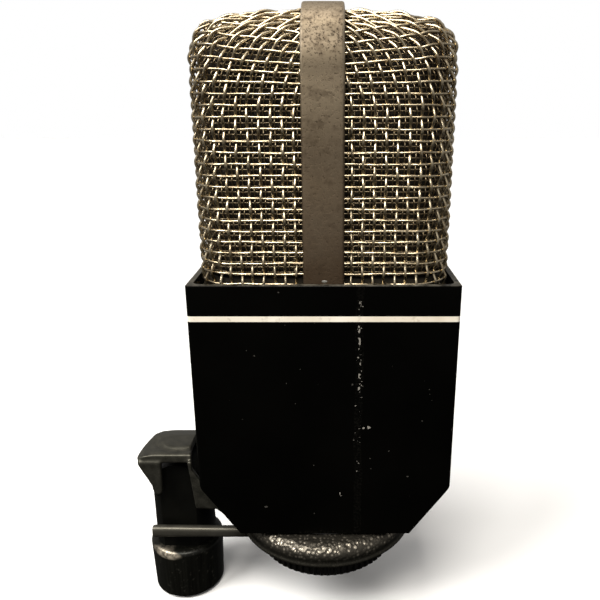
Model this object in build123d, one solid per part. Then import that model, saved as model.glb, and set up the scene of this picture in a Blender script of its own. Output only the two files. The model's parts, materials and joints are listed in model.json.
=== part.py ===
from build123d import *
import os
import math

os.makedirs("parts", exist_ok=True)

# ---------------------------------------------------------------- driving sizes
# Origin: mouth of the stand thread, on its axis.  +Z up, front of the
# microphone faces -Y, the stand socket is on the -X side of the microphone.
MX = 42.2            # microphone axis, from the stand axis
BW, BD = 65.8, 38.0  # body width and depth
Z_BOT = 29.4         # body underside
Z_CH = 43.8          # start of the lower chamfers
CH_DX = 10.3         # chamfer run in X
Z_BAND0, Z_BAND1 = 89.5, 90.9   # trim band
Z_RIM = 98.5         # top of the rim
WALL = 2.0           # body wall
RIM_W = 1.5          # rim wall
EDGE_R = 1.0         # vertical edge radius

HA, HB = 31.3, 16.2  # half width and half depth of the woven head
H_TOP = 160.8        # top of the woven head on its centre line
H_RP = 10.0          # corner radius in plan
H_RS = 14.0          # front-to-top radius
H_RT = 6.5           # side-to-top radius
H_CROWN = 2.0        # fall of the top from centre to side
MESH_T = 1.3         # outer weave, two wires thick
STRAP_W, STRAP_T = 9.8, 1.25

CUP_R = 25.2         # cup
Z_LIP, Z_CUP = 23.3, 28.6
RING_R = 20.1        # knurled ring
Z_RING0, Z_RING1 = 16.0, 25.3
TEETH = 66
THREAD_R = 15.0      # base thread
BARREL_R0, BARREL_R1, BARREL_H = 10.1, 10.6, 15.8
STAND_R, STAND_L = 7.54, 13.0   # 5/8-27 stand thread
POST_R, POST_FLAT = 8.6, 7.0
PIV_Z = 34.4         # tilt pivot height
POST_TOP_R = 8.2
SWEEP = 0.40         # clearance round the turning body


def bx(x0, x1, y0, y1, z0, z1):
    return Pos((x0 + x1) / 2, (y0 + y1) / 2, (z0 + z1) / 2) * Box(x1 - x0, y1 - y0, z1 - z0)


def mb(x0, x1, y0, y1, z0, z1):
    return bx(MX + x0, MX + x1, y0, y1, z0, z1)


def cz(r, x, y, z0, z1):
    return Pos(x, y, (z0 + z1) / 2) * Cylinder(r, z1 - z0)


def cy(r, x, z, y0, y1):
    return Pos(x, (y0 + y1) / 2, z) * Rot(90, 0, 0) * Cylinder(r, y1 - y0)


def cx(r, y, z, x0, x1):
    return Pos((x0 + x1) / 2, y, z) * Rot(0, 90, 0) * Cylinder(r, x1 - x0)


def poly_y(pts, y0, y1):
    """Polygon in XZ, pulled from y0 to y1."""
    f = Plane.XZ * make_face(Polyline(*pts, close=True))
    e = extrude(f, amount=y1 - y0)
    b = e.bounding_box()
    return Pos(0, y0 - b.min.Y, 0) * e


def prism(w, d, r, z0, z1):
    return Pos(MX, 0, z0) * extrude(RectangleRounded(w, d, r), amount=z1 - z0)


def head(off, z0):
    """Woven head envelope, moved outwards by off."""
    a, b = HA + off, HB + off
    top = H_TOP + off
    plan = prism(2 * a, 2 * b, H_RP + off, z0, top + 5)
    rt, rs = H_RT + off, H_RS + off
    zs = top - H_CROWN
    k = rt * math.sqrt(0.5)
    front = Plane.XZ * make_face([
        Line((-a, z0 - 1), (a, z0 - 1)),
        Line((a, z0 - 1), (a, zs - rt)),
        ThreePointArc((a, zs - rt), (a - rt + k, zs - rt + k), (a - rt, zs)),
        ThreePointArc((a - rt, zs), (0, top), (-a + rt, zs)),
        ThreePointArc((-a + rt, zs), (-a + rt - k, zs - rt + k), (-a, zs - rt)),
        Line((-a, zs - rt), (-a, z0 - 1)),
    ])
    fs = Pos(MX, 40, 0) * extrude(front, amount=80)
    j = rs * math.sqrt(0.5)
    side = Plane.YZ * make_face([
        Line((-b, z0 - 1), (b, z0 - 1)),
        Line((b, z0 - 1), (b, top - rs)),
        ThreePointArc((b, top - rs), (b - rs + j, top - rs + j), (b - rs, top)),
        Line((b - rs, top), (-b + rs, top)),
        ThreePointArc((-b + rs, top), (-b + rs - j, top - rs + j), (-b, top - rs)),
        Line((-b, top - rs), (-b, z0 - 1)),
    ])
    ss = Pos(MX - 40, 0, 0) * extrude(side, amount=80)
    return plan & fs & ss


parts = {}

# ---------------------------------------------------------------- stand side
barrel = Solid.make_cone(BARREL_R0, BARREL_R1, BARREL_H)
barrel = fillet(barrel.edges().filter_by(GeomType.CIRCLE).sort_by(Axis.Z)[-1], 1.3)
barrel = chamfer(barrel.edges().filter_by(GeomType.CIRCLE).sort_by(Axis.Z)[0], 0.4)
barrel = barrel - cz(STAND_R, 0, 0, 0, STAND_L)
SPIG_R = 4.0
barrel = barrel - cz(SPIG_R, 0, 0, STAND_L - 0.5, BARREL_H + 1)
parts["stand_socket"] = barrel

post = cz(POST_R, 0, 0, BARREL_H, PIV_Z + POST_TOP_R + 1)
post = post & bx(-20, 20, -POST_FLAT, POST_FLAT, 0, 60)
crown = bx(-20, 20, -20, 20, BARREL_H, PIV_Z) + cy(POST_TOP_R, 0, PIV_Z, -20, 20)
post = post & crown
post = post + cz(SPIG_R, 0, 0, STAND_L + 0.2, BARREL_H)
PIV_R = 2.5
post = post - cy(PIV_R, 0, PIV_Z, -4.0, 20)
# seat of the lock screw, square to the post's front left corner
LA = 220.0
lock_loc = Pos(0, 0, PIV_Z) * Rot(0, 0, LA) * Rot(0, 90, 0)
post = post - lock_loc * Pos(0, 0, 6.5) * Cylinder(1.5, 7.4)
parts["swivel_post"] = post

lock = lock_loc * Pos(0, 0, 6.5) * Cylinder(1.5, 3.8)
dome = Pos(0, 0, 8.2) * Cylinder(2.4, 1.6)
dome = fillet(dome.edges().filter_by(GeomType.CIRCLE).sort_by(Axis.Z)[-1], 1.3)
dome = dome - Pos(0, 0, 9.1) * Box(0.6, 6, 0.8)
dome = lock_loc * dome
parts["pivot_lock_screw"] = lock + dome
parts["swivel_post"] = parts["swivel_post"] - (lock_loc * Pos(0, 0, 8.3) * Cylinder(2.45, 1.8))

pv = cy(PIV_R, 0, PIV_Z, -3.6, 11.2) + cy(4.2, 0, PIV_Z, 11.2, 13.8)
pv = pv - bx(-6, 6, 12.9, 15, PIV_Z - 0.5, PIV_Z + 0.5)
parts["tilt_pivot_screw"] = pv
parts["friction_washer"] = cy(7.2, 0, PIV_Z, 7.0, 7.55) - cy(PIV_R, 0, PIV_Z, 5, 9)
parts["pivot_spring_washer"] = cy(4.0, 0, PIV_Z, 10.7, 11.2) - cy(PIV_R, 0, PIV_Z, 9, 12)

# ---------------------------------------------------------------- swivel bracket
cup = cz(CUP_R - 0.35, MX, 0, Z_LIP, Z_CUP)
cup = fillet(cup.edges().filter_by(GeomType.CIRCLE).sort_by(Axis.Z)[-1], 3.4)
cup = cup + cz(CUP_R, MX, 0, Z_LIP, Z_LIP + 0.7)

Z_HL, Z_HT = 44.8, 47.6     # hood: lip and crown
plan = [(14, -9.4), (-8.2, -9.4), (-9.6, -8.9), (-10.3, -7.6), (-10.3, -5.5), (-9.9, -3.0),
        (-9.2, 0), (-8.2, 3.0), (-6.8, 6.0), (-4.8, 8.5), (-2.5, 10.0), (0, 10.65), (14, 10.65)]
hood = Pos(0, 0, Z_HL) * extrude(make_face(Polyline(*plan, close=True)), amount=Z_HT - Z_HL + 1)
# crown falls away to the back and to the left
back_fall = [(-11, 20), (-11, 46.5), (-9.0, 47.4), (-7.0, 47.6), (2.0, 47.3), (6.0, 46.3),
             (9.0, 45.0), (10.65, 43.6), (12, 42), (12, 20)]
side_fall = [(-10.6, 20), (-10.6, 45.2), (-9.9, 46.2), (-8.2, 46.9), (-5.5, 47.4), (-2.0, 47.6),
             (60, 47.6), (60, 20)]
back_fall = Pos(-20, 0, 0) * extrude(Plane.YZ * make_face(Polyline(*back_fall, close=True)), amount=80)
hood = hood & back_fall & poly_y(side_fall, -30, 30)
# shallow groove behind the lip
hood = hood - (Pos(0.8, 0.6, 49.0) * Torus(7.4, 2.1) & bx(-12, 12, -12, 0.5, 40, 60))

# front cheek: a leg beside the post that follows the lower chamfer of the body
leg = poly_y([(4.4, 46.0), (4.4, 45.0), (5.8, 31.0), (11.6, 30.9), (13.8, 29.0), (16.0, 27.0), (19.5, 25.2),
              (24, 24.4), (24, 28.3), (18.0, 28.3), (10.5, 46.0)], -10.7, -8.4)
# tongue that runs down from the front left corner of the hood
tongue = poly_y([(-9.6, 45.6), (-9.7, 44.6), (-8.6, 42.3), (-7.4, 40.1), (-6.2, 37.6), (-5.6, 35.2),
                 (-4.4, 34.6), (-3.4, 35.6), (-3.2, 39.0), (-3.2, 45.6)], -9.9, -8.2)
tongue = fillet(tongue.edges().filter_by(Plane.XZ).group_by(Axis.Y)[0], 0.5)
# rear cheek: a full plate that carries the pivot
rear = poly_y([(-2.5, 46.0), (-5.6, 44.2), (-7.6, 41.6), (-8.8, 38.0), (-9.0, 27.0), (-6.0, 21.4),
               (24, 21.4), (24, 28.3), (18, 28.3), (10.5, 46.0)], 7.6, 10.65)
rear = rear & back_fall
# front rail below the window
rail = poly_y([(-7.2, 24.8), (-7.2, 21.4), (26, 21.4), (26, 24.4)], -10.9, -8.5)
rail = fillet(rail.edges().filter_by(GeomType.LINE).filter_by(lambda e: abs(e.tangent_at(0.5).X) > 0.9), 0.95)
bridge = bx(16.8, 24, -9, 9, 24.8, 28.3)
bracket = cup + hood + leg + tongue + rear + rail + bridge
# rail and cheeks end in the cup wall, clear of the ring
bracket = bracket - cz(21.7, MX, 0, Z_LIP - 5, 26.0)
bracket = bracket - cz(THREAD_R + 0.4, MX, 0, 20, 30)
# space swept by the turning body
def corner(w):
    """Radius that the rounded corner of a body w wide reaches as it turns."""
    return math.hypot(w - EDGE_R, BD / 2 - EDGE_R) + EDGE_R + SWEEP


swept_cone = Solid.make_cone(corner(BW / 2 - CH_DX), corner(BW / 2), Z_CH - Z_BOT)
swept = Pos(MX, 0, Z_BOT - 0.5) * swept_cone
swept = swept + cz(corner(BW / 2), MX, 0, Z_CH - 0.5, 90)
bracket = bracket - swept
bracket = bracket - cz(18.9, MX, 0, Z_CUP, 40)
# pivot hole, and room for the post
bracket = bracket - cy(PIV_R + 0.06, 0, PIV_Z, 5, 15)
bracket = bracket - cy(POST_TOP_R + 0.7, 0, PIV_Z, -7.45, 7.6)
parts["swivel_bracket"] = bracket

parts["cup_pad"] = cz(18.4, MX, 0, Z_CUP, Z_BOT - 0.05) - cz(THREAD_R + 0.4, MX, 0, 20, 40)

# ---------------------------------------------------------------- knurled ring
pts = []
for i in range(TEETH):
    a0 = 2 * math.pi * i / TEETH
    s = 2 * math.pi / TEETH
    for da, r in ((-0.26, RING_R - 0.75), (-0.13, RING_R), (0.13, RING_R), (0.26, RING_R - 0.75)):
        a = a0 + da * s
        pts.append((r * math.cos(a), r * math.sin(a)))
ring = Pos(MX, 0, Z_RING0) * extrude(make_face(Polyline(*pts, close=True)), amount=6.9)
ring = ring & (Pos(MX, 0, Z_RING0) * (Solid.make_cone(RING_R - 0.6, RING_R + 0.4, 1.0)
                                     + cz(RING_R + 0.4, 0, 0, 1.0, 8)))
ring = ring + cz(RING_R - 1.2, MX, 0, Z_RING0 + 6.9, Z_RING1)
ring = ring - cz(THREAD_R + 0.05, MX, 0, 10, 30)
parts["locking_ring"] = ring
parts["ring_washer"] = cz(20.6, MX, 0, Z_RING1, 25.95) - cz(THREAD_R + 0.3, MX, 0, 20, 30)

# ---------------------------------------------------------------- body
def can(off, z0, z1):
    """Body outline with chamfered lower corners, moved inwards by off."""
    p = prism(BW - 2 * off, BD - 2 * off, max(EDGE_R - off / 2, 0.3), z0, z1)
    w = BW / 2 - off
    n = math.hypot(CH_DX, Z_CH - Z_BOT)
    s = off * (n - (Z_CH - Z_BOT)) / CH_DX if CH_DX else 0
    prof = poly_y([(MX - w, z1), (MX - w, Z_CH + s), (MX - w + CH_DX, Z_BOT + s),
                   (MX + w - CH_DX, Z_BOT + s), (MX + w, Z_CH + s), (MX + w, z1)], -30, 30)
    return p & prof


shell = can(0, Z_BOT, Z_BAND0)
cav = can(WALL, Z_BOT + WALL, Z_BAND0 + 1)
shell = shell - cav
shell = shell - cz(THREAD_R + 0.1, MX, 0, 20, 40)
SCR = [(sx * 15.4, sy * 13.6) for sx in (-1, 1) for sy in (-1, 1)]
for px, py in SCR:
    shell = shell - cz(0.9, MX + px, py, 30.2, 32)
parts["body_shell"] = shell

band = prism(BW, BD, EDGE_R, Z_BAND0, Z_BAND1) - prism(BW - 3.4, BD - 3.4, 0.5, Z_BAND0 - 1, Z_BAND1 + 1)
parts["trim_band"] = band

collar = prism(BW, BD, EDGE_R, Z_BAND1, Z_RIM)
collar = fillet(collar.faces().sort_by(Axis.Z)[-1].edges(), 0.35)
collar = collar - prism(BW - 2 * RIM_W, BD - 2 * RIM_W, 2.0, Z_BAND1 + 1.2, Z_RIM + 1)
collar = collar - prism(BW - 8, BD - 8, 1.5, Z_BAND1 - 1, Z_BAND1 + 2)
parts["head_collar"] = collar

Z_HB0 = Z_BAND1 + 1.2       # head base plate
Z_HB1 = Z_HB0 + 2.0
hb = prism(BW - 2 * RIM_W - 0.3, BD - 2 * RIM_W - 0.3, 1.8, Z_HB0, Z_HB1)
hb = hb - mb(-6, 6, -5, 5, Z_HB0 - 1, Z_HB1 + 1)
RX = 18.0                   # chassis rails
for sx in (-1, 1):
    hb = hb - cz(1.25, MX + sx * RX, 0, Z_HB0 - 1, Z_HB1 + 1)
    hb = hb - cz(1.25, MX + sx * 10.0, 0, Z_HB0 - 1, Z_HB1 + 1)
parts["head_base"] = hb

band2 = head(-MESH_T - 0.05, Z_HB1) - head(-MESH_T - 1.05, Z_HB1 - 1)
parts["grille_frame"] = band2 & mb(-40, 40, -30, 30, Z_HB1, Z_HB1 + 5.0)

# ---------------------------------------------------------------- woven head
outer = head(0, Z_HB1) - head(-MESH_T, Z_HB1 - 1)
parts["grille_left"] = outer & mb(-40, -0.02, -30, 30, 0, 200)
parts["grille_right"] = outer & mb(0.02, 40, -30, 30, 0, 200)
Z_IN = Z_HB1 + 5.1
inner_s = head(-MESH_T - 0.05, Z_IN) - head(-MESH_T - 0.55, Z_IN - 1)
parts["inner_screen"] = inner_s & mb(-40, 40, -30, 30, Z_IN, 200)
st = head(STRAP_T, Z_HB1) - head(0, Z_HB1 - 1)
st = st & mb(-STRAP_W / 2, STRAP_W / 2, -30, 30, 0, 200)
parts["guard_strap"] = st

# ---------------------------------------------------------------- ribbon motor
ZM0, ZM1 = Z_HB1 + 2.6, Z_HB1 + 56.0
frame = mb(-15, 15, -4.2, 4.2, ZM0, ZM1) - mb(-11.4, 11.4, -6, 6, ZM0 + 3.4, ZM1 - 3.4)
for sx in (-1, 1):
    frame = frame - cz(1.0, MX + sx * 10.0, 0, ZM0 - 1, ZM0 + 3.0)
parts["motor_frame"] = frame
zm0, zm1 = ZM0 + 3.4, ZM1 - 3.4
parts["magnet_left"] = mb(-11.4, -5.6, -4.0, 4.0, zm0 + 3.0, zm1 - 3.0)
parts["magnet_right"] = mb(5.6, 11.4, -4.0, 4.0, zm0 + 3.0, zm1 - 3.0)
for n, s in (("pole_left", -1), ("pole_right", 1)):
    f = Plane.XY * make_face(Polyline((s * 5.6, -4.0), (s * 5.6, 4.0), (s * 2.75, 1.6), (s * 2.75, -1.6), close=True))
    parts[n] = Pos(MX, 0, zm0 + 3.0) * extrude(f, amount=zm1 - zm0 - 6.0)
# ribbon: corrugated foil, drawn thicker than life so that it stays a solid
up, dn = [], []
nz = 60
z_a, z_b = zm0 + 2.6, zm1 - 2.6
T2 = 0.06
up.append((T2, zm0 + 0.4))
dn.append((-T2, zm0 + 0.4))
for i in range(nz + 1):
    z = z_a + (z_b - z_a) * i / nz
    o = 0.0 if i in (0, nz) else (0.42 if i % 2 else -0.42)
    up.append((o + T2, z))
    dn.append((o - T2, z))
up.append((T2, zm1 - 0.4))
dn.append((-T2, zm1 - 0.4))
f = Plane.YZ * make_face(Polyline(*(up + dn[::-1]), close=True))
parts["ribbon"] = Pos(MX - 2.35, 0, 0) * extrude(f, amount=4.7)
for n, z0, z1 in (("ribbon_clamp_lower", zm0 + 0.2, zm0 + 2.4), ("ribbon_clamp_upper", zm1 - 2.4, zm1 - 0.2)):
    parts[n] = mb(-4.4, 4.4, -1.5, -T2, z0, z1) + mb(-4.4, 4.4, T2, 1.5, z0, z1)
    parts[n] = parts[n] - cy(0.55, MX - 3.4, (z0 + z1) / 2, -5, 5) - cy(0.55, MX + 3.4, (z0 + z1) / 2, -5, 5)
ins = []
cs = []
for z0, z1 in ((zm0, zm0 + 2.4), (zm1 - 2.4, zm1)):
    blk = mb(-6.0, 6.0, 1.5, 4.0, z0, z1)
    zc = (zm0 + 1.3) if z0 == zm0 else (zm1 - 1.3)
    blk = blk - cy(0.55, MX - 3.4, zc, 0, 5) - cy(0.55, MX + 3.4, zc, 0, 5)
    ins.append(blk)
    for sx in (-1, 1):
        cs.append(cy(0.55, MX + sx * 3.4, zc, -1.5, 3.6) + cy(0.95, MX + sx * 3.4, zc, -2.1, -1.5))
parts["clamp_insulators"] = Compound(children=ins)
parts["clamp_screws"] = Compound(children=cs)
parts["motor_grommets"] = Compound(children=[
    cz(3.6, MX + s * 10.0, 0, Z_HB1, ZM0) - cz(1.0, MX + s * 10.0, 0, Z_HB1 - 1, ZM0 + 1) for s in (-1, 1)])
parts["motor_screws"] = Compound(children=[
    cz(1.0, MX + s * 10.0, 0, Z_HB0 - 0.6, ZM0 + 2.8) + cz(1.9, MX + s * 10.0, 0, Z_HB0 - 1.6, Z_HB0 - 0.0) for s in (-1, 1)])

# ---------------------------------------------------------------- base and connector
FL0 = Z_BOT + WALL
bush = cz(THREAD_R, MX, 0, 16.9, FL0) + mb(-18.5, 18.5, -16.2, 16.2, FL0, FL0 + 2.4)
XLR_R = 8.2
bush = bush - cz(XLR_R, MX, 0, 10, 40)
for px, py in SCR:
    bush = bush - cz(1.05, MX + px, py, 30, 40)
bush = bush - cx(1.0, 0, 30.3, MX + 6, MX + 13)
parts["base_bushing"] = bush
parts["base_screws"] = Compound(children=[
    cz(0.9, MX + px, py, 30.3, FL0 + 2.4) + cz(1.7, MX + px, py, FL0 + 2.4, FL0 + 3.6) for px, py in SCR])
PINS = [(4.5 * math.cos(math.radians(a)), 4.5 * math.sin(math.radians(a))) for a in (90, 210, 330)]
xi = cz(XLR_R, MX, 0, 29.2, 35.0)
for px, py in PINS:
    xi = xi - cz(1.2, MX + px, py, 20, 40)
xi = xi - cx(1.0, 0, 30.3, MX + 6.6, MX + 13)
parts["xlr_insert"] = xi
parts["xlr_pins"] = Compound(children=[
    fillet(cz(1.2, MX + px, py, 18.4, 36.6).edges().sort_by(Axis.Z)[0], 0.7) for px, py in PINS])
parts["xlr_set_screw"] = cx(0.98, 0, 30.3, MX + 6.7, MX + 12.0)

# chassis rails stand on the bushing flange and carry the head base
RZ0 = FL0 + 2.4
rails = []
for s in (-1, 1):
    r = mb(min(s * 17, s * 18.6), max(s * 17, s * 18.6), -7, 7, RZ0, Z_HB0)
    foot = mb(min(s * 12.9, s * 18.6), max(s * 12.9, s * 18.6), -7, 7, RZ0, RZ0 + 1.6)
    tab = mb(min(s * 17, s * 22.5), max(s * 17, s * 22.5), -7, 7, Z_HB0 - 1.8, Z_HB0)
    r = r + foot + tab
    rails.append(r)
parts["chassis_rail_left"] = rails[0]
parts["chassis_rail_right"] = rails[1]
scr = []
for i, s in enumerate((-1, 1)):
    n = ("chassis_rail_left", "chassis_rail_right")[i]
    parts[n] = parts[n] - cz(1.0, MX + s * 20.6, 0, Z_HB0 - 3, Z_HB0 + 1)
    parts["head_base"] = parts["head_base"] - cz(1.0, MX + s * 20.6, 0, Z_HB0 - 1, Z_HB1 + 1)
    scr.append(cz(1.0, MX + s * 20.6, 0, Z_HB0 - 1.8, Z_HB1) + cz(1.8, MX + s * 20.6, 0, Z_HB0 - 3.0, Z_HB0 - 1.8))
    parts[n] = parts[n] - cz(1.0, MX + s * 14.6, 0, RZ0 - 1, RZ0 + 2)
    parts["base_bushing"] = parts["base_bushing"] - cz(1.0, MX + s * 14.6, 0, RZ0 - 1.8, RZ0 + 1)
    scr.append(cz(1.0, MX + s * 14.6, 0, RZ0 - 1.6, RZ0 + 1.6) + cz(1.8, MX + s * 14.6, 0, RZ0 + 1.6, RZ0 + 2.8))
parts["chassis_screws"] = Compound(children=scr)

# ---------------------------------------------------------------- transformer
TZ0, TZ1 = 52.0, 74.0
core = mb(-13, 13, -6, 6, TZ0, TZ1)
core = core - mb(-9, -4.2, -8, 8, TZ0 + 4, TZ1 - 4) - mb(4.2, 9, -8, 8, TZ0 + 4, TZ1 - 4)
parts["transformer_core"] = core
wind = mb(-8.9, 8.9, -9.5, 9.5, TZ0 + 4.1, TZ1 - 4.1)
wind = fillet(wind.edges().filter_by(Axis.Z), 2.0)
wind = wind - mb(-4.25, 4.25, -6.05, 6.05, TZ0, TZ1)
parts["transformer_winding"] = wind
tbl = []
for z0, z1 in ((TZ0 + 0.6, TZ0 + 3.6), (TZ1 - 3.6, TZ1 - 0.6)):
    tbl.append(mb(-17, 17, 6.05, 7.0, z0, z1))
parts["transformer_straps"] = Compound(children=tbl)
parts["transformer_screws"] = Compound(children=[
    cy(0.9, MX + sx * 11.0, zc, 1.5, 7.0) + cy(1.6, MX + sx * 11.0, zc, 7.0, 8.0)
    for sx in (-1, 1) for zc in (TZ0 + 2.1, TZ1 - 2.1)])
for sx in (-1, 1):
    for zc in (TZ0 + 2.1, TZ1 - 2.1):
        h = cy(0.9, MX + sx * 11.0, zc, 1.0, 8)
        parts["transformer_core"] = parts["transformer_core"] - h
        parts["transformer_straps"] = parts["transformer_straps"] - h

# terminal board between the rails
TBZ = 82.0
parts["terminal_board"] = mb(-17, 17, -0.8, 0.8, TBZ, TBZ + 6)
LUG = (-12, -8, 8, 12)
parts["terminal_lugs"] = Compound(children=[
    mb(x - 0.9, x + 0.9, -1.3, -0.8, TBZ + 1, TBZ + 5) for x in LUG])


def lead(pts, r, radii):
    path = FilletPolyline(*[(MX + p[0], p[1], p[2]) for p in pts], radius=radii)
    return sweep(Plane(origin=path @ 0, z_dir=path % 0) * Circle(r), path=path)


# ribbon leads: from the clamps down through the head base to the board
zl = (zm0 + 1.3)
zu = (zm1 - 1.3)
rl = lead([(-3.4, -2.1, zl), (-3.4, -5.6, zl), (-3.4, -5.6, Z_HB1 + 2.4), (-3.4, -3.2, Z_HB1 - 2.0),
           (-8.0, -3.2, TBZ + 3.0), (-8.0, -1.3, TBZ + 3.0)], 0.35, 0.8)
ru = lead([(3.4, -2.1, zu), (3.4, -5.9, zu), (3.4, -5.9, Z_HB1 + 2.4), (3.4, -3.2, Z_HB1 - 2.0),
           (8.0, -3.2, TBZ + 3.0), (8.0, -1.3, TBZ + 3.0)], 0.35, 0.8)
parts["ribbon_leads"] = Compound(children=[rl, ru])
# output leads: from the outer lugs past the transformer to the connector pins
ol = lead([(-12.0, -1.3, TBZ + 2.0), (-12.0, -4.0, TBZ + 2.0), (-14.6, -8.0, TZ1 + 2), (-14.6, -8.0, TZ0 - 2),
           (PINS[1][0], PINS[1][1], 42.0), (PINS[1][0], PINS[1][1], 36.6)], 0.45, 1.0)
orr = lead([(12.0, -1.3, TBZ + 2.0), (12.0, -4.0, TBZ + 2.0), (14.6, -8.0, TZ1 + 2), (14.6, -8.0, TZ0 - 2),
            (PINS[2][0], PINS[2][1], 42.0), (PINS[2][0], PINS[2][1], 36.6)], 0.45, 1.0)
parts["output_leads"] = Compound(children=[ol, orr])

for name, s in parts.items():
    export_step(s, f"parts/{name}.step")
print(len(parts), "parts")
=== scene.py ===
import bpy, bmesh, math, json
import numpy as np
from mathutils import Vector, Matrix


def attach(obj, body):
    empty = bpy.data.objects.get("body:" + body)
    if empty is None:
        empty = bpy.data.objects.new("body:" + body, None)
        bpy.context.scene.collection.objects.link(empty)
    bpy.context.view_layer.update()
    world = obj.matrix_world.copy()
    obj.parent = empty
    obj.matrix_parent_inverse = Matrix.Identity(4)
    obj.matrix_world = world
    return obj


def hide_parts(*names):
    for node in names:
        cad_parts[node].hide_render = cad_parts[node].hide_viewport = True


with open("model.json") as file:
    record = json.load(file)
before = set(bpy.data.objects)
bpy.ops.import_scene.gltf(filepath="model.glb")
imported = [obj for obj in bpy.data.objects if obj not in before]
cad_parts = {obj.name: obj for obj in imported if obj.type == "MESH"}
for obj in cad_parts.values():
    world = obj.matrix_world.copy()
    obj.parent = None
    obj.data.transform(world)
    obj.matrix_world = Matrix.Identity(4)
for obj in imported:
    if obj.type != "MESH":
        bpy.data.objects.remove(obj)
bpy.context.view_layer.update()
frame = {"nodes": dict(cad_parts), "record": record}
MM = 0.001
MX = 42.2
HA, HB = 31.3, 16.2
TOP, CROWN, R0, RS, RT = 160.8, 2.0, 10.0, 14.0, 7.8
Z_RIM = 98.5
Z_BASE = 94.4
rng = np.random.default_rng(11)


# ------------------------------------------------------------------ materials
def new_mat(name):
    m = bpy.data.materials.new(name)
    m.use_nodes = True
    nt = m.node_tree
    nt.nodes.clear()
    out = nt.nodes.new("ShaderNodeOutputMaterial")
    b = nt.nodes.new("ShaderNodeBsdfPrincipled")
    nt.links.new(b.outputs[0], out.inputs[0])
    tc = nt.nodes.new("ShaderNodeTexCoord")
    return m, nt, b, tc.outputs["Object"]


def noise(nt, co, scale, detail=4.0, rough=0.55, stretch=None, kind="noise"):
    v = co
    if stretch is not None:
        mp = nt.nodes.new("ShaderNodeMapping")
        mp.inputs["Scale"].default_value = stretch
        nt.links.new(co, mp.inputs[0])
        v = mp.outputs[0]
    if kind == "noise":
        n = nt.nodes.new("ShaderNodeTexNoise")
        n.inputs["Scale"].default_value = scale
        n.inputs["Detail"].default_value = detail
        n.inputs["Roughness"].default_value = rough
        nt.links.new(v, n.inputs["Vector"])
        return n.outputs[0]
    n = nt.nodes.new("ShaderNodeTexVoronoi")
    n.inputs["Scale"].default_value = scale
    nt.links.new(v, n.inputs["Vector"])
    return n.outputs["Distance"]


def ramp(nt, fac, stops):
    r = nt.nodes.new("ShaderNodeValToRGB")
    e = r.color_ramp.elements
    while len(e) < len(stops):
        e.new(0.5)
    for i, (p, c) in enumerate(stops):
        e[i].position = p
        e[i].color = (c, c, c, 1) if isinstance(c, (int, float)) else (*c, 1)
    nt.links.new(fac, r.inputs[0])
    return r.outputs[0]


def mixc(nt, fac, a, b, mode="MIX"):
    m = nt.nodes.new("ShaderNodeMix")
    m.data_type = "RGBA"
    m.blend_type = mode
    for sock, val in ((m.inputs[0], fac), (m.inputs[6], a), (m.inputs[7], b)):
        if isinstance(val, (int, float)):
            sock.default_value = val
        elif isinstance(val, tuple):
            sock.default_value = (*val, 1)
        else:
            nt.links.new(val, sock)
    return m.outputs[2]


def mathn(nt, op, a, b=None):
    m = nt.nodes.new("ShaderNodeMath")
    m.operation = op
    for s, v in zip(m.inputs, (a, b)):
        if v is None:
            continue
        if isinstance(v, (int, float)):
            s.default_value = v
        else:
            nt.links.new(v, s)
    return m.outputs[0]


def bump(nt, b, height, strength, dist):
    n = nt.nodes.new("ShaderNodeBump")
    n.inputs["Strength"].default_value = strength
    n.inputs["Distance"].default_value = dist
    nt.links.new(height, n.inputs["Height"])
    nt.links.new(n.outputs[0], b.inputs["Normal"])
    return n


def sep(nt, co):
    s = nt.nodes.new("ShaderNodeSeparateXYZ")
    nt.links.new(co, s.inputs[0])
    return s.outputs


def generic(name, base, metal, rough, scale=900, var=0.25, bstr=0.15, stretch=None, coat=0.0):
    m, nt, b, co = new_mat(name)
    n = noise(nt, co, scale, stretch=stretch)
    n2 = noise(nt, co, scale * 0.2, 3)
    dark = tuple(c * (1 - var) for c in base)
    lite = tuple(min(1, c * (1 + var)) for c in base)
    c = ramp(nt, n2, [(0.3, dark), (0.7, lite)])
    c = mixc(nt, ramp(nt, n, [(0.4, 0.0), (0.75, 0.5)]), c, dark)
    nt.links.new(c, b.inputs["Base Color"])
    b.inputs["Metallic"].default_value = metal
    nt.links.new(ramp(nt, n, [(0.3, max(rough - 0.08, 0.03)), (0.7, min(rough + 0.1, 1))]), b.inputs["Roughness"])
    b.inputs["Coat Weight"].default_value = coat
    bump(nt, b, n, bstr, 0.0001)
    return m


def wire_mat(name, bright, dark, tarnish, rough):
    m, nt, b, co = new_mat(name)
    n = noise(nt, co, 260, 3)
    n2 = noise(nt, co, 1500, 3)
    c = ramp(nt, n, [(0.30, dark), (0.52, bright), (0.8, tuple(min(1, x * 1.1) for x in bright))])
    c = mixc(nt, ramp(nt, n2, [(0.45, 0.0), (0.72, 0.75)]), c, tarnish)
    nt.links.new(c, b.inputs["Base Color"])
    b.inputs["Metallic"].default_value = 1.0
    nt.links.new(ramp(nt, n2, [(0.3, rough - 0.06), (0.7, rough + 0.16)]), b.inputs["Roughness"])
    bump(nt, b, n2, 0.2, 0.00005)
    return m


MAT = {}
MAT["wire_outer"] = wire_mat("wire_outer", (0.62, 0.53, 0.37), (0.38, 0.30, 0.19), (0.17, 0.12, 0.065), 0.23)
MAT["wire_inner"] = wire_mat("wire_inner", (0.34, 0.27, 0.17), (0.15, 0.11, 0.065), (0.04, 0.028, 0.016), 0.30)


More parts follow.
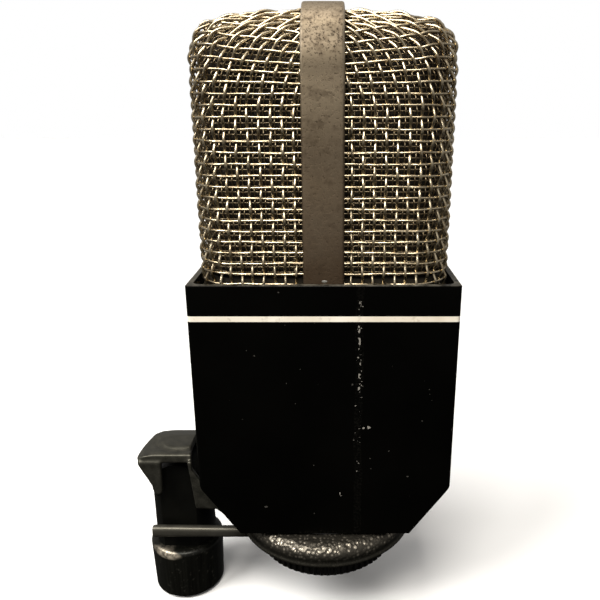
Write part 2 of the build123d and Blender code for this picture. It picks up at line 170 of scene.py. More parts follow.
def strap_mat():
    m, nt, b, co = new_mat("strap_worn_nickel_painted_light")
    s = sep(nt, co)
    big = noise(nt, co, 70, 5, 0.6)
    mid = noise(nt, co, 420, 5, 0.65)
    fine = noise(nt, co, 1500, 5, 0.75)
    # colour graded by height, darker towards the bottom, with painted light and shade around the bend: a painted
    # highlight band on the front just below the bend, a painted dark band over the lower part of the bend and a
    # painted highlight band over its upper part
    zf = nt.nodes.new("ShaderNodeMapRange")
    nt.links.new(s[2], zf.inputs[0])
    zf.inputs[1].default_value = 0.098
    zf.inputs[2].default_value = 0.162
    g = ramp(nt, zf.outputs[0], [(0.0, (0.095, 0.060, 0.035)), (0.367, (0.195, 0.147, 0.095)), (0.469, (0.165, 0.126, 0.083)), (0.5625, (0.205, 0.160, 0.106)), (0.66, (0.275, 0.220, 0.149)), (0.725, (0.29, 0.232, 0.157)), (0.789, (0.165, 0.132, 0.089)), (0.853, (0.078, 0.062, 0.042)), (0.8875, (0.090, 0.072, 0.049)), (0.917, (0.22, 0.176, 0.120)), (0.942, (0.25, 0.20, 0.14)), (1.0, (0.20, 0.164, 0.114))])
    c = mixc(nt, ramp(nt, big, [(0.35, 0.0), (0.7, 0.35)]), g, (0.26, 0.21, 0.15))
    c = mixc(nt, ramp(nt, mid, [(0.5, 0.0), (0.68, 0.6)]), c, (0.07, 0.05, 0.032))
    pits = ramp(nt, fine, [(0.53, 0.0), (0.64, 1.0)])
    c = mixc(nt, mathn(nt, "MULTIPLY", pits, 0.6), c, (0.025, 0.016, 0.01))
    # lines down both long edges: dark lower down, turning into a painted highlight towards the top where the edges
    # catch the light
    ex = mathn(nt, "ABSOLUTE", mathn(nt, "SUBTRACT", s[0], MX * MM))
    ed = nt.nodes.new("ShaderNodeMapRange")
    nt.links.new(ex, ed.inputs[0])
    ed.inputs[1].default_value = 0.00435
    ed.inputs[2].default_value = 0.0049
    hi = nt.nodes.new("ShaderNodeMapRange")
    nt.links.new(s[2], hi.inputs[0])
    hi.inputs[1].default_value = 0.138
    hi.inputs[2].default_value = 0.150
    edge_dark_and_painted_highlight = mixc(nt, hi.outputs[0], (0.05, 0.035, 0.022), (0.48, 0.41, 0.31))
    c = mixc(nt, mathn(nt, "MULTIPLY", ed.outputs[0], 0.55), c, edge_dark_and_painted_highlight)
    nt.links.new(c, b.inputs["Base Color"])
    b.inputs["Metallic"].default_value = 1.0
    r = mixc(nt, pits, ramp(nt, mid, [(0.3, 0.46), (0.7, 0.64)]), (0.8, 0.8, 0.8))
    nt.links.new(r, b.inputs["Roughness"])
    h = mathn(nt, "SUBTRACT", mathn(nt, "MULTIPLY", mid, 0.5), pits)
    bump(nt, b, h, 0.35, 0.00012)
    return m


MAT["strap"] = strap_mat()


def enamel(name, chips=True, rim=False):
    m, nt, b, co = new_mat(name)
    s = sep(nt, co)
    n = noise(nt, co, 35, 3)
    fine = noise(nt, co, 1800, 4, 0.6)
    c = ramp(nt, n, [(0.3, (0.0006, 0.0006, 0.0005)), (0.7, (0.0014, 0.0013, 0.0010))])
    rough = ramp(nt, n, [(0.3, 0.13), (0.7, 0.22)])
    if chips:
        # a run of small chips down the front and a smudge under it
        wob = noise(nt, co, 60, 3)
        x = mathn(nt, "ADD", s[0], mathn(nt, "MULTIPLY", mathn(nt, "SUBTRACT", wob, 0.5), 0.0022))
        dx = mathn(nt, "ABSOLUTE", mathn(nt, "SUBTRACT", x, (MX + 8.7) * MM))
        line = mathn(nt, "LESS_THAN", dx, 0.00026)
        wide = mathn(nt, "LESS_THAN", dx, 0.0010)
        front = mathn(nt, "LESS_THAN", s[1], -0.0185)
        zu = mathn(nt, "GREATER_THAN", s[2], 0.0715)
        zl = mathn(nt, "GREATER_THAN", s[2], 0.0475)
        zt = mathn(nt, "LESS_THAN", s[2], 0.0960)
        sp = noise(nt, co, 1150, 2, 0.5)
        spk = mathn(nt, "GREATER_THAN", sp, 0.56)
        sp2 = noise(nt, co, 1700, 2, 0.5)
        spk2 = mathn(nt, "GREATER_THAN", sp2, 0.70)
        a = mathn(nt, "MULTIPLY", mathn(nt, "MULTIPLY", line, spk), mathn(nt, "MULTIPLY", zu, zt))
        b2 = mathn(nt, "MULTIPLY", mathn(nt, "MULTIPLY", wide, spk2), mathn(nt, "MULTIPLY", zl, zt))
        chip = mathn(nt, "MULTIPLY", mathn(nt, "MAXIMUM", a, b2), front)
        dust = mathn(nt, "MULTIPLY", mathn(nt, "GREATER_THAN", noise(nt, co, 620, 2, 0.5), 0.765), front)
        chip = mathn(nt, "MAXIMUM", mathn(nt, "MULTIPLY", chip, 0.5), mathn(nt, "MULTIPLY", dust, 0.10))
        # single chips
        for cx_, cz_, rr in ((MX + 4.1, 41.6, 0.34), (MX + 11.2, 61.3, 0.30), (MX + 9.9, 61.0, 0.25)):
            d = nt.nodes.new("ShaderNodeVectorMath")
            d.operation = "DISTANCE"
            nt.links.new(co, d.inputs[0])
            d.inputs[1].default_value = (cx_ * MM, -0.019, cz_ * MM)
            dd = mathn(nt, "ADD", d.outputs["Value"], mathn(nt, "MULTIPLY", mathn(nt, "SUBTRACT", sp, 0.5), 0.0016))
            chip = mathn(nt, "MAXIMUM", chip, mathn(nt, "MULTIPLY", mathn(nt, "LESS_THAN", dd, rr * MM), 0.5))
        c = mixc(nt, chip, c, (0.50, 0.47, 0.41))
        rough = mixc(nt, chip, rough, (0.6, 0.6, 0.6))
        # rubbed haze under the chips
        hz = mathn(nt, "MULTIPLY", mathn(nt, "MULTIPLY", wide, front), ramp(nt, fine, [(0.45, 0.0), (0.7, 0.6)]))
        c = mixc(nt, mathn(nt, "MULTIPLY", hz, 0.012), c, (0.5, 0.47, 0.4))
    if rim:
        # lighter colour on the up-facing top face of the rim: lacquer rubbed off there, and a painted sheen standing
        # in for the light the top face reflects
        gn = nt.nodes.new("ShaderNodeNewGeometry")
        up = sep(nt, gn.outputs["Normal"])[2]
        topf = mathn(nt, "MULTIPLY", mathn(nt, "GREATER_THAN", up, 0.75), mathn(nt, "GREATER_THAN", s[2], 0.0982))
        rubbed_wear_and_sheen = mathn(nt, "MULTIPLY", topf, ramp(nt, noise(nt, co, 420, 5), [(0.35, 0.10), (0.72, 1.0)]))
        c = mixc(nt, rubbed_wear_and_sheen, c, (0.085, 0.078, 0.062))
        rough = mixc(nt, rubbed_wear_and_sheen, rough, (0.55, 0.55, 0.55))
    nt.links.new(c, b.inputs["Base Color"])
    nt.links.new(rough, b.inputs["Roughness"])
    b.inputs["Specular IOR Level"].default_value = 0.035
    bump(nt, b, mathn(nt, "ADD", mathn(nt, "MULTIPLY", fine, 0.15), noise(nt, co, 220, 2)), 0.05, 0.0001)
    return m


MAT["enamel"] = enamel("black_enamel")
MAT["enamel_rim"] = enamel("black_enamel_rim", rim=True)


def cream():
    m, nt, b, co = new_mat("cream_line")
    n = noise(nt, co, 500, 4)
    n2 = noise(nt, co, 90, 3)
    c = ramp(nt, n2, [(0.3, (0.72, 0.64, 0.50)), (0.65, (0.93, 0.87, 0.74))])
    c = mixc(nt, ramp(nt, n, [(0.60, 0.0), (0.72, 0.5)]), c, (0.42, 0.35, 0.25))
    nt.links.new(c, b.inputs["Base Color"])
    nt.links.new(ramp(nt, n, [(0.3, 0.3), (0.7, 0.5)]), b.inputs["Roughness"])
    bump(nt, b, n, 0.15, 0.00008)
    return m


MAT["cream"] = cream()


def hammertone(name, base, cell, strength, rough, metal=0.75, flake=0.35):
    m, nt, b, co = new_mat(name)
    v = noise(nt, co, cell, kind="voronoi")
    n = noise(nt, co, cell * 0.45, 3)
    f = noise(nt, co, 5200, 2)
    hgt = mathn(nt, "ADD", ramp(nt, v, [(0.05, 0.0), (0.75, 1.0)]), mathn(nt, "MULTIPLY", n, 0.8))
    lite = tuple(min(1, x * 1.9 + 0.03) for x in base)
    c = ramp(nt, hgt, [(0.35, lite), (1.1 if False else 0.95, base)])
    c = mixc(nt, mathn(nt, "MULTIPLY", ramp(nt, f, [(0.55, 0.0), (0.7, 1.0)]), flake), c, tuple(min(1, x * 3 + .05) for x in base))
    nt.links.new(c, b.inputs["Base Color"])
    b.inputs["Metallic"].default_value = metal
    nt.links.new(ramp(nt, n, [(0.3, rough - 0.06), (0.7, rough + 0.1)]), b.inputs["Roughness"])
    b.inputs["Coat Weight"].default_value = 0.25
    b.inputs["Coat Roughness"].default_value = 0.2
    bump(nt, b, hgt, strength, 0.0004)
    return m


def casting():
    """Dark silvery hammer finish on the cup, smooth on the arm and hood."""
    m, nt, b, co = new_mat("cast_dark_hammer_painted_light")
    s = sep(nt, co)
    cupf = nt.nodes.new("ShaderNodeMapRange")
    nt.links.new(s[0], cupf.inputs[0])
    cupf.inputs[1].default_value = 0.0155
    cupf.inputs[2].default_value = 0.0195
    cup = cupf.outputs[0]
    v = noise(nt, co, 950, kind="voronoi")
    n = noise(nt, co, 420, 3)
    f = noise(nt, co, 3800, 3)
    hgt = mathn(nt, "ADD", ramp(nt, v, [(0.05, 0.0), (0.75, 1.0)]), mathn(nt, "MULTIPLY", n, 0.9))
    # painted shade: below the shoulder the cup's wall is painted near-black, standing in for the shade on the wall
    # that faces away from the light; the same mask keeps the hammer bump to the shoulder
    shoulder_and_painted_wall_shade = nt.nodes.new("ShaderNodeMapRange")
    nt.links.new(s[2], shoulder_and_painted_wall_shade.inputs[0])
    shoulder_and_painted_wall_shade.inputs[1].default_value = 0.0250
    shoulder_and_painted_wall_shade.inputs[2].default_value = 0.0270
    shoulder_and_painted_wall_shade.inputs[3].default_value = 0.06
    shoulder_and_painted_wall_shade.inputs[4].default_value = 1.0
    c1 = ramp(nt, n, [(0.3, (0.042, 0.041, 0.032)), (0.7, (0.072, 0.069, 0.055))])
    c2 = ramp(nt, hgt, [(0.35, (0.46, 0.41, 0.33)), (0.95, (0.070, 0.063, 0.050))])
    c2 = mixc(nt, shoulder_and_painted_wall_shade.outputs[0], (0.022, 0.021, 0.016), c2)
    # the flat rail band is painted lighter than the cheeks: a painted highlight standing in for the light along the
    # rail
    rail_painted_highlight_mask = mathn(nt, "MULTIPLY", mathn(nt, "GREATER_THAN", s[2], 0.0212), mathn(nt, "LESS_THAN", s[2], 0.0250))
    c1 = mixc(nt, mathn(nt, "MULTIPLY", rail_painted_highlight_mask, 0.6), c1, (0.125, 0.117, 0.095))
    c = mixc(nt, cup, c1, c2)
    c = mixc(nt, mathn(nt, "MULTIPLY", ramp(nt, f, [(0.55, 0.0), (0.7, 1.0)]), 0.25), c, (0.22, 0.19, 0.15))
    nt.links.new(c, b.inputs["Base Color"])
    b.inputs["Metallic"].default_value = 0.85
    nt.links.new(mixc(nt, cup, ramp(nt, n, [(0.3, 0.38), (0.7, 0.52)]), ramp(nt, n, [(0.3, 0.24), (0.7, 0.36)])), b.inputs["Roughness"])
    h2 = mathn(nt, "ADD", mathn(nt, "MULTIPLY", mathn(nt, "MULTIPLY", hgt, cup), shoulder_and_painted_wall_shade.outputs[0]), mathn(nt, "MULTIPLY", f, 0.06))
    bump(nt, b, h2, 0.6, 0.0003)
    return m


MAT["hammer"] = casting()
MAT["post"] = generic("post_satin_black", (0.003, 0.003, 0.0022), 0.3, 0.5, 700, 0.4, 0.2)
MAT["post"].node_tree.nodes["Principled BSDF"].inputs["Specular IOR Level"].default_value = 0.12


def turned():
    m, nt, b, co = new_mat("barrel_turned_black")
    n = noise(nt, co, 260, 5, 0.6, stretch=(6.0, 6.0, 0.12))
    n2 = noise(nt, co, 900, 3)
    c = ramp(nt, n, [(0.3, (0.004, 0.004, 0.003)), (0.72, (0.012, 0.012, 0.009))])
    c = mixc(nt, ramp(nt, n2, [(0.6, 0.0), (0.75, 0.5)]), c, (0.09, 0.085, 0.07))
    # painted highlight: a light patch on the front of the top shoulder, left of the axis and broken up by noise,
    # standing in for the light the rounded edge catches
    s = sep(nt, co)
    ux = mathn(nt, "DIVIDE", mathn(nt, "ADD", s[0], 0.0042), 0.0052)
    uz = mathn(nt, "DIVIDE", mathn(nt, "SUBTRACT", s[2], 0.0146), 0.0014)
    w = mathn(nt, "SUBTRACT", 1.0, mathn(nt, "ADD", mathn(nt, "MULTIPLY", ux, ux), mathn(nt, "MULTIPLY", uz, uz)))
    w = mathn(nt, "MULTIPLY", mathn(nt, "MAXIMUM", w, 0.0), mathn(nt, "LESS_THAN", s[1], -0.004))
    w = mathn(nt, "MULTIPLY", w, ramp(nt, n2, [(0.36, 0.25), (0.58, 1.0)]))
    c = mixc(nt, w, c, (0.62, 0.54, 0.42))
    nt.links.new(c, b.inputs["Base Color"])
    b.inputs["Metallic"].default_value = 0.55
    b.inputs["Specular IOR Level"].default_value = 0.35
    nt.links.new(ramp(nt, n, [(0.3, 0.26), (0.7, 0.42)]), b.inputs["Roughness"])
    bump(nt, b, n, 0.35, 0.00012)
    return m


MAT["barrel"] = turned()
MAT["ring"] = generic("ring_black_oxide", (0.014, 0.013, 0.011), 0.6, 0.36, 1200, 0.4, 0.15)

GENERIC = {
    "felt_grey": ((0.05, 0.05, 0.05), 0, 0.9), "fibre_brown": ((0.34, 0.2, 0.1), 0, 0.6),
    "plate_steel": ((0.5, 0.49, 0.46), 1, 0.35), "screw_steel": ((0.45, 0.45, 0.44), 1, 0.3),
    "screw_black": ((0.03, 0.03, 0.03), 0.8, 0.4), "magnet_grey": ((0.12, 0.12, 0.13), 0.7, 0.45),
    "pole_iron": ((0.25, 0.24, 0.22), 1, 0.35), "foil_alu": ((0.85, 0.85, 0.86), 1, 0.25),
    "brass_clamp": ((0.68, 0.5, 0.22), 1, 0.3), "pin_silver": ((0.75, 0.7, 0.58), 1, 0.22),
    "insert_black": ((0.02, 0.02, 0.02), 0, 0.45), "rubber_black": ((0.02, 0.02, 0.02), 0, 0.8),
    "core_iron": ((0.12, 0.115, 0.11), 0.8, 0.5), "winding_amber": ((0.5, 0.3, 0.08), 0, 0.35),
    "wire_red": ((0.45, 0.04, 0.03), 0, 0.45), "wire_white": ((0.7, 0.68, 0.62), 0, 0.5),
    "brass_base": ((0.55, 0.42, 0.2), 1, 0.3),
}
SLOTS = {s["node"]: s["material_slot"] for s in frame["record"]["subparts"]}
SPECIAL = {"cast_grey": "hammer", "post_black": "post", "barrel_black": "barrel", "ring_black": "ring",
           "body_black": "enamel", "trim_cream": "cream", "wire_nickel": "wire_inner", "strap_nickel": "strap"}
for node, obj in frame["nodes"].items():
    sl = SLOTS[node]
    if sl in SPECIAL:
        m = MAT[SPECIAL[sl]]
        if node == "head_collar":
            m = MAT["enamel_rim"]
    else:
        if sl not in MAT:
            bc, me, ro = GENERIC[sl]
            MAT[sl] = generic(sl + "_finish", bc, me, ro)
        m = MAT[sl]
    obj.data.materials.clear()
    obj.data.materials.append(m)


MAT["dark_plate"] = generic("dark_plate_finish", (0.022, 0.018, 0.012), 0.5, 0.5)
for node in ("grille_frame", "head_base"):
    frame["nodes"][node].data.materials.clear()
    frame["nodes"][node].data.materials.append(MAT["dark_plate"])


# ------------------------------------------------------------------ woven head
def smin(a, b, k):
    h = np.clip(0.5 + 0.5 * (b - a) / k, 0, 1)
    return b * (1 - h) + a * h - k * h * (1 - h)


def z_top(x, y, off):
    b, a = HB + off, HA + off
    rs, rt, top = RS + off, RT + off, TOP + off
    ay = np.abs(y)
    t = np.clip((ay - (b - rs)) / rs, 0, 1)
    zs = np.where(ay < b - rs, top, top - rs + rs * np.sqrt(1 - t * t))
    ax = np.abs(x)
    cr = top - CROWN * (ax / (a - rt)) ** 2
    u = np.clip((ax - (a - rt)) / rt, 0, 1)
    zf = np.where(ax < a - rt, cr, top - CROWN - rt + rt * np.sqrt(1 - u * u))
    k = 0.5 + 2.5 * np.clip((ax - (a - rt - 6)) / 6, 0, 1)
    return smin(zs, zf, k)


S0 = 0.0
PITCH = 2.58


S1F = TOP - RS - Z_BASE            # the front starts to roll over
S1S = TOP - CROWN - RT - Z_BASE    # the sides start to roll over


def droop(s):
    return 2.8 * np.clip((s - (S1F - 8)) / 14, 0, 1.4) ** 1.3


def surf(q, s, off):
    """Quarter-perimeter coordinate q (0 at the strap) and height coordinate s -> x, y (both positive), z."""
    a0, b0 = HA + off, HB + off
    rs, rt = RS + off, RT + off
    tf = np.maximum(s - S1F, 0)
    ts = np.maximum(s - S1S, 0)
    hp = math.pi / 2
    df = rs * (1 - np.cos(np.minimum(tf / rs, hp))) + np.maximum(tf - rs * hp, 0)
    ds = rt * (1 - np.cos(np.minimum(ts / rt, hp))) + np.maximum(ts - rt * hp, 0)
    df = np.minimum(df, b0 - 0.05)
    A, B = a0 - ds, b0 - df
    r = np.minimum(R0 + off, B * 0.96)
    Lf, La, Ls = A - r, hp * r, B - r
    Q = Lf + La + Ls
    Qb = (a0 - R0 - off) + hp * (R0 + off) + (b0 - R0 - off)
    # uprights keep their spacing from the side and lean in under the strap
    e = 0.10 * np.maximum(s - (S1F - 9), 0) ** 1.3
    qq = Q - (Qb - q) - e * np.clip((Qb - q) / 12, 0, 1)
    q2 = np.clip(qq, 0, Q)
    ang = np.clip((q2 - Lf) / r, 0, hp)
    x = np.where(q2 < Lf, q2, A - r + r * np.sin(ang))
    y = np.where(q2 < Lf + La, B - r + r * np.cos(ang), B - r - (q2 - Lf - La))
    y = np.where(q2 < Lf, B, y)
    z = smin(z_top(x, y, off), Z_BASE + s, 1.0)
    return x, y, z, qq


def surf3(P, s, off, Qb, row=False):
    """P in perimeter units, 0 at front centre, growing towards +x and round."""
    P = np.mod(P, 4 * Qb)
    k = np.floor(P / Qb).astype(int)
    f = P - k * Qb
    q = np.where(k % 2 == 0, f, Qb - f)
    if row:
        s = s - droop(s) * np.clip(1 - q / (HA + off), 0, 1)
    sx = np.where((k == 0) | (k == 1), 1.0, -1.0)
    sy = np.where((k == 0) | (k == 3), -1.0, 1.0)
    x, y, z, qq = surf(q, s, off)
    return np.stack([sx * x, sy * y, z], -1), np.stack([sx, sy], -1), x, qq


def frames(P, s, off, Qb, row=False):
    p, _, ax, qq = surf3(P, s, off, Qb, row)
    e = 0.05
    p1 = surf3(P + e, s, off, Qb, row)[0]
    p0 = surf3(P - e, s, off, Qb, row)[0]
    s1 = surf3(P, s + e, off, Qb, row)[0]
    s0 = surf3(P, s - e, off, Qb, row)[0]
    n = np.cross(p1 - p0, s1 - s0)
    l = np.linalg.norm(n, axis=-1, keepdims=True)
    c = p - np.array([0, 0, 125.0])
    n = np.where(l > 1e-6, n / np.maximum(l, 1e-9), c / np.linalg.norm(c, axis=-1, keepdims=True))
    flip = np.sum(n * (p - np.array([0, 0, 120.0])), -1, keepdims=True) < 0
    n = np.where(flip, -n, n)
    return p, n, ax, qq


def tube(verts, faces, pts, nrm, rad, k, closed):
    n = len(pts)
    if n < 2:
        return
    if closed:
        tan = np.roll(pts, -1, 0) - np.roll(pts, 1, 0)
    else:
        tan = np.gradient(pts, axis=0)
    tan /= np.maximum(np.linalg.norm(tan, axis=1, keepdims=True), 1e-9)
    nn = nrm - tan * np.sum(nrm * tan, 1, keepdims=True)
    nn /= np.maximum(np.linalg.norm(nn, axis=1, keepdims=True), 1e-9)
    bb = np.cross(tan, nn)
    a = np.arange(k) * 2 * math.pi / k
    ringv = pts[:, None, :] + rad * (np.cos(a)[None, :, None] * nn[:, None, :] + np.sin(a)[None, :, None] * bb[:, None, :])
    base = sum(len(v) for v in verts)
    verts.append(ringv.reshape(-1, 3))
    m = n if closed else n - 1
    i = np.arange(m)[:, None] * k
    j = ((np.arange(m) + 1) % n)[:, None] * k
    c0 = np.arange(k)[None, :]
    c1 = (c0 + 1) % k
    q = np.stack([i + c0, i + c1, j + c1, j + c0], -1).reshape(-1, 4) + base
    faces.append(q)
    if not closed:
        for st in (0, (n - 1) * k):
            cap = np.arange(k) + base + st
            if k == 4:
                faces.append((cap[::-1] if st == 0 else cap)[None, :])
            elif k == 6:
                cc = cap[::-1] if st == 0 else cap
                faces.append(np.array([[cc[0], cc[1], cc[2], cc[3]], [cc[0], cc[3], cc[4], cc[5]]]))


def mesh_obj(name, verts, faces, mat, smooth=True):
    v = np.concatenate(verts) * MM
    f = np.concatenate(faces)
    me = bpy.data.meshes.new(name)
    me.vertices.add(len(v))
    me.vertices.foreach_set("co", v.astype(np.float32).ravel())
    me.loops.add(f.size)
    me.loops.foreach_set("vertex_index", f.astype(np.int32).ravel())
    me.polygons.add(len(f))
    me.polygons.foreach_set("loop_start", np.arange(0, f.size, 4, dtype=np.int32))
    me.polygons.foreach_set("loop_total", np.full(len(f), 4, dtype=np.int32))
    if smooth:
        me.polygons.foreach_set("use_smooth", np.ones(len(f), dtype=bool))
    me.update()
    me.validate()
    o = bpy.data.objects.new(name, me)
    bpy.context.scene.collection.objects.link(o)
    me.materials.append(mat)
    return o


def runs(keep):
    idx = np.flatnonzero(keep)
    if len(idx) < 3:
        return []
    return [r for r in np.split(idx, np.flatnonzero(np.diff(idx) > 1) + 1) if len(r) > 2]


def weave(name, off, pitch, rads, k, per, mat, amps, half, s_lo, jitter, clip):
    """Plain weave over the head. half: +1 right, -1 left, 0 all round.
    rads and amps are (rows, uprights)."""
    a0, b0 = HA + off, HB + off
    Qb = (a0 - R0 - off) + math.pi / 2 * (R0 + off) + (b0 - R0 - off)
    s_end = S1F + (RS + off) * math.pi / 2 + 1.9
    nv = int(round(2 * Qb / pitch))          # uprights in one half of the perimeter
    pv = 2 * Qb / nv
    s_row = s_lo + 0.45 * pitch
    nr = int((s_end - s_row) / pitch)
    verts, faces = [], []
    sides = (1, -1) if half == 0 else (half,)
    for side in sides:
        lo = 0.0 if side > 0 else 2 * Qb
        for i in range(nr + 1):
            s = s_row + i * pitch
            m = nv * max(per - 2, 2)
            P = lo + np.linspace(0, 2 * Qb, m + 1)
            w = amps[0] * np.cos(math.pi * ((P - lo) / pv - 0.5 + i))
            wob = jitter * np.sin(P * 0.21 + i * 1.7) + 0.5 * jitter * np.sin(P * 0.63 + i * 2.9)
            p, n, ax, qq = frames(P, s + wob, off, Qb, True)
            p = p + n * w[:, None]
            for run in runs((ax > clip) & (qq > clip * 0.2)):
                tube(verts, faces, p[run], n[run], rads[0], k, False)
        for j in range(nv):
            P0 = lo + (j + 0.5) * pv
            m = int((s_end - s_lo) / pitch * per)
            s = np.linspace(s_lo, s_end, m + 1)
            f = P0 - lo
            q = f if f < Qb else 2 * Qb - f
            sig = s + droop(s) * np.clip(1 - q / (HA + off), 0, 1)
            w = -amps[1] * np.cos(math.pi * ((sig - s_row) / pitch + j))
            wob = jitter * np.sin(s * 0.33 + j * 2.1) + 0.5 * jitter * np.sin(s * 0.9 + j * 1.3)
            p, n, ax, qq = frames(np.full_like(s, P0) + wob, s, off, Qb)
            p = p + n * w[:, None]
            for run in runs((ax > clip) & (qq > clip * 0.2)):
                tube(verts, faces, p[run], n[run], rads[1], k, False)
    for v in verts:
        v[:, 0] += MX
    return mesh_obj(name, verts, faces, mat)


for nm, side, node in (("woven_grille_right", 1, "grille_right"), ("woven_grille_left", -1, "grille_left")):
    g = weave(nm, -0.86, PITCH, (0.31, 0.36), 6, 6, MAT["wire_outer"], (0.06, 0.47), side, -0.3, 0.10, 3.9)
    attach(g, "mic")
    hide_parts(node)
g = weave("fine_inner_screen", -2.5, 1.29, (0.17, 0.18), 4, 4, MAT["wire_inner"], (0.03, 0.30), 0, 5.5, 0.04, 0.0)
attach(g, "mic")
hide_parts("inner_screen")



def backing():
    """Finest gauze behind the inner screen, drawn as one thin close-woven shell."""
    off = -3.35
    Qb = (HA + off - R0 - off) + math.pi / 2 * (R0 + off) + (HB + off - R0 - off)
    nu, ns = 160, 64
    s_end = S1F + (RS + off) * math.pi / 2 + 2.1
    P = np.arange(nu) * 4 * Qb / nu
    rows = [frames(P, np.full(nu, sv), off, Qb)[0] for sv in np.linspace(5.2, s_end, ns)]
    v = np.concatenate(rows) + np.array([MX, 0, 0])
    i, j = np.meshgrid(np.arange(ns - 1), np.arange(nu), indexing="ij")
    j2 = (j + 1) % nu
    f = np.stack([i * nu + j, i * nu + j2, (i + 1) * nu + j2, (i + 1) * nu + j], -1).reshape(-1, 4)
    m, nt, b, co = new_mat("close_gauze")
    sx = sep(nt, co)
    wx = mathn(nt, "SINE", mathn(nt, "MULTIPLY", mathn(nt, "ADD", sx[0], sx[1]), 9000.0))
    wz = mathn(nt, "SINE", mathn(nt, "MULTIPLY", sx[2], 9000.0))
    w = mathn(nt, "MULTIPLY", wx, wz)
    n = noise(nt, co, 300, 3)
    c = ramp(nt, n, [(0.3, (0.010, 0.008, 0.005)), (0.7, (0.030, 0.023, 0.015))])
    c = mixc(nt, ramp(nt, w, [(0.2, 0.0), (0.8, 0.5)]), c, (0.055, 0.043, 0.028))
    nt.links.new(c, b.inputs["Base Color"])
    b.inputs["Metallic"].default_value = 0.6
    b.inputs["Roughness"].default_value = 0.62
    bump(nt, b, w, 0.3, 0.0001)
    o = mesh_obj("close_gauze_lining", [v], [f], m)
    md = o.modifiers.new("thick", "SOLIDIFY")
    md.thickness = 0.12 * MM
    md.offset = -1
    return o


o = backing()
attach(o, "mic")

# ------------------------------------------------------------------ strap
def strap():
    t = 1.2
    b = HB + 0.02
    path = []
    zt = TOP + 0.02
    for z in np.linspace(Z_BASE + 0.3, zt - RS, 40):
        path.append((-b, z, -1, 0))
    for a in np.linspace(0, math.pi / 2, 26)[1:]:
        path.append((-(b - RS) - RS * math.cos(a), zt - RS + RS * math.sin(a), -math.cos(a), math.sin(a)))
    path.append((0, zt, 0, 1))
    full = path + [(-y, z, -ny, nz) for y, z, ny, nz in path[::-1][1:]]
    w = 4.88
    prof = [(-w, 0.05), (-w, 0.7), (-w + 0.1, 0.98), (-w + 0.32, 1.14), (-w + 0.7, 1.19), (-w * 0.5, 1.2), (0, 1.21),
            (w * 0.5, 1.2), (w - 0.7, 1.19), (w - 0.32, 1.14), (w - 0.1, 0.98), (w, 0.7), (w, 0.05)]
    verts, faces = [], []
    k = len(prof)
    n = len(full)
    V = []
    for i, (y, z, ny, nz) in enumerate(full):
        wob = 0.04 * math.sin(i * 0.37) + 0.03 * math.sin(i * 0.9 + 1)
        for (px, ph) in prof:
            sc = 1.0
            V.append((MX + px * sc + wob * 0.5, y + ny * (ph - 0.0), z + nz * (ph - 0.0)))
    F = []
    for i in range(n - 1):
        for j in range(k):
            j2 = (j + 1) % k
            F.append((i * k + j, i * k + j2, (i + 1) * k + j2, (i + 1) * k + j))
    o = mesh_obj("nickel_strap", [np.array(V)], [np.array(F)], MAT["strap"])
    bm = bmesh.new()
    bm.from_mesh(o.data)
    bm.edges.ensure_lookup_table()
    bmesh.ops.holes_fill(bm, edges=[e for e in bm.edges if e.is_boundary], sides=0)
    bmesh.ops.recalc_face_normals(bm, faces=bm.faces)
    bm.to_mesh(o.data)
    bm.free()
    for p in o.data.polygons:
        p.use_smooth = True
    return o


o = strap()
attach(o, "mic")
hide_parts("guard_strap")

# small solder bead at the foot of the strap
bm = bmesh.new()
bmesh.ops.create_icosphere(bm, subdivisions=3, radius=1.0)
for v in bm.verts:
    v.co = Vector((v.co.x * 0.95 * (1 + 0.15 * math.sin(v.co.z * 3)), v.co.y * 0.25, v.co.z * 0.55))
    v.co += Vector((MX + 0.2, -(HB + 1.05), Z_RIM + 0.55))
    v.co *= MM
me = bpy.data.meshes.new("solder_bead")
bm.to_mesh(me)
bm.free()
for p in me.polygons:
    p.use_smooth = True
bead = bpy.data.objects.new("solder_bead", me)
bpy.context.scene.collection.objects.link(bead)
MAT["solder"] = generic("solder", (0.75, 0.72, 0.64), 1, 0.25, 1500, 0.2, 0.2)
me.materials.append(MAT["solder"])
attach(bead, "mic")


# ------------------------------------------------------------------ casting
def soften(node, name, voxel, it, mat, fac=0.5, extra=0, xmax=0.0):
    src = frame["nodes"][node]
    me = src.data.copy()
    me.name = name
    o = bpy.data.objects.new(name, me)
    o.matrix_world = src.matrix_world.copy()
    bpy.context.scene.collection.objects.link(o)
    md = o.modifiers.new("r", "REMESH")
    md.mode = "VOXEL"
    md.voxel_size = voxel * MM
    md.adaptivity = 0
    sm = o.modifiers.new("s", "SMOOTH")
    sm.iterations = it
    sm.factor = fac
    dg = bpy.context.evaluated_depsgraph_get()
    ev = bpy.data.meshes.new_from_object(o.evaluated_get(dg), depsgraph=dg)
    o.modifiers.clear()
    old = o.data
    o.data = ev
    bpy.data.meshes.remove(old)
    if extra:
        vg = o.vertex_groups.new(name="arm")
        co = np.empty(len(ev.vertices) * 3, dtype=np.float32)
        ev.vertices.foreach_get("co", co)
        xs = co.reshape(-1, 3)[:, 0] / MM
        w = np.clip((xmax - xs) / 2.0, 0, 1)
        for lv in (0.25, 0.5, 0.75, 1.0):
            ids = np.flatnonzero((w > lv - 0.25) & (w <= lv))
            if len(ids):
                vg.add([int(k) for k in ids], lv, "REPLACE")
        s2 = o.modifiers.new("s2", "SMOOTH")
        s2.iterations = extra
        s2.factor = fac
        s2.vertex_group = "arm"
        dg = bpy.context.evaluated_depsgraph_get()
        ev2 = bpy.data.meshes.new_from_object(o.evaluated_get(dg), depsgraph=dg)
        o.modifiers.clear()
        o.vertex_groups.clear()
        o.data = ev2
        bpy.data.meshes.remove(ev)
        ev = ev2
    ev.name = name
    ev.materials.clear()
    ev.materials.append(mat)
    for p in ev.polygons:
        p.use_smooth = True
    return o


br = soften("swivel_bracket", "cast_swivel_bracket", 0.26, 3, MAT["hammer"], extra=14, xmax=13.0)
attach(br, "bracket")
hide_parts("swivel_bracket")

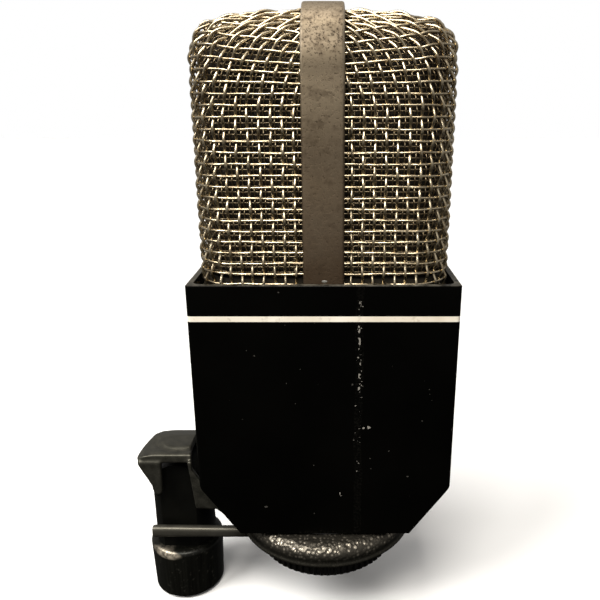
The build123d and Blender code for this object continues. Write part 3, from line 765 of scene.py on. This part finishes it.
# ------------------------------------------------------------------ stage
def soft_world():
    w = bpy.data.worlds.new("studio")
    bpy.context.scene.world = w
    w.use_nodes = True
    nt = w.node_tree
    bg = nt.nodes["Background"]
    tc = nt.nodes.new("ShaderNodeTexCoord")
    z = sep(nt, tc.outputs["Generated"])[2]
    z = mathn(nt, "ADD", mathn(nt, "MULTIPLY", z, 0.5), 0.5)
    r = ramp(nt, z, [(0.16, (0.012, 0.012, 0.012)), (0.32, (0.16, 0.155, 0.145)), (0.5, (0.30, 0.295, 0.285)),
                     (0.75, (0.45, 0.44, 0.43))])
    lp = nt.nodes.new("ShaderNodeLightPath")
    c = mixc(nt, lp.outputs["Is Camera Ray"], r, (1.0, 1.0, 1.0))
    nt.links.new(c, bg.inputs[0])
    bg.inputs[1].default_value = 1.0


soft_world()
me = bpy.data.meshes.new("floor")
F = 3.0
me.from_pydata([(-F, -F, -0.0008), (F, -F, -0.0008), (F, F, -0.0008), (-F, F, -0.0008)], [], [(0, 1, 2, 3)])
fl = bpy.data.objects.new("studio_floor", me)
bpy.context.scene.collection.objects.link(fl)
m, nt, b, co = new_mat("pale_floor")
nt.links.new(ramp(nt, noise(nt, co, 6, 3), [(0.3, (0.86, 0.86, 0.855)), (0.7, (0.9, 0.9, 0.895))]), b.inputs["Base Color"])
b.inputs["Roughness"].default_value = 0.85
b.inputs["Specular IOR Level"].default_value = 0.1
me.materials.append(m)
fl.visible_glossy = False
fl.visible_diffuse = False


def area(name, loc, target, size, power, color=(1, 1, 1), sy=None):
    l = bpy.data.lights.new(name, "AREA")
    l.shape = "RECTANGLE"
    l.size = size
    l.size_y = sy or size
    l.energy = power
    l.color = color
    o = bpy.data.objects.new(name, l)
    o.location = loc
    d = Vector(target) - Vector(loc)
    o.rotation_euler = d.to_track_quat("-Z", "Y").to_euler()
    bpy.context.scene.collection.objects.link(o)


T = (0.04, 0.0, 0.09)
sun = bpy.data.lights.new("key", "SUN")
sun.energy = 3.5
sun.angle = math.radians(30)
sun.color = (1, 0.975, 0.94)
so = bpy.data.objects.new("key", sun)
so.rotation_euler = (-Vector((-0.60, -0.32, 0.74))).to_track_quat("-Z", "Y").to_euler()
bpy.context.scene.collection.objects.link(so)
area("top", (0.0, -0.30, 0.55), T, 0.22, 2.9, (1, 0.96, 0.90))
area("crown", (MX * MM, 0.02, 0.42), (MX * MM, -0.005, 0.16), 0.10, 0.22, (1, 0.95, 0.88))

cam = bpy.data.cameras.new("camera")
cam.sensor_width = 36.0
cam.lens = 37.08
cam.shift_x = -35.0 / 600
cam.clip_start = 0.01
co_ = bpy.data.objects.new("camera", cam)
co_.location = (44.91 * MM, -159.1 * MM, 138.4 * MM)
co_.rotation_euler = (math.radians(90 - 17.2), 0, 0)
bpy.context.scene.collection.objects.link(co_)
bpy.context.scene.camera = co_
bpy.context.scene.view_settings.view_transform = "Standard"
bpy.context.scene.view_settings.look = "None"
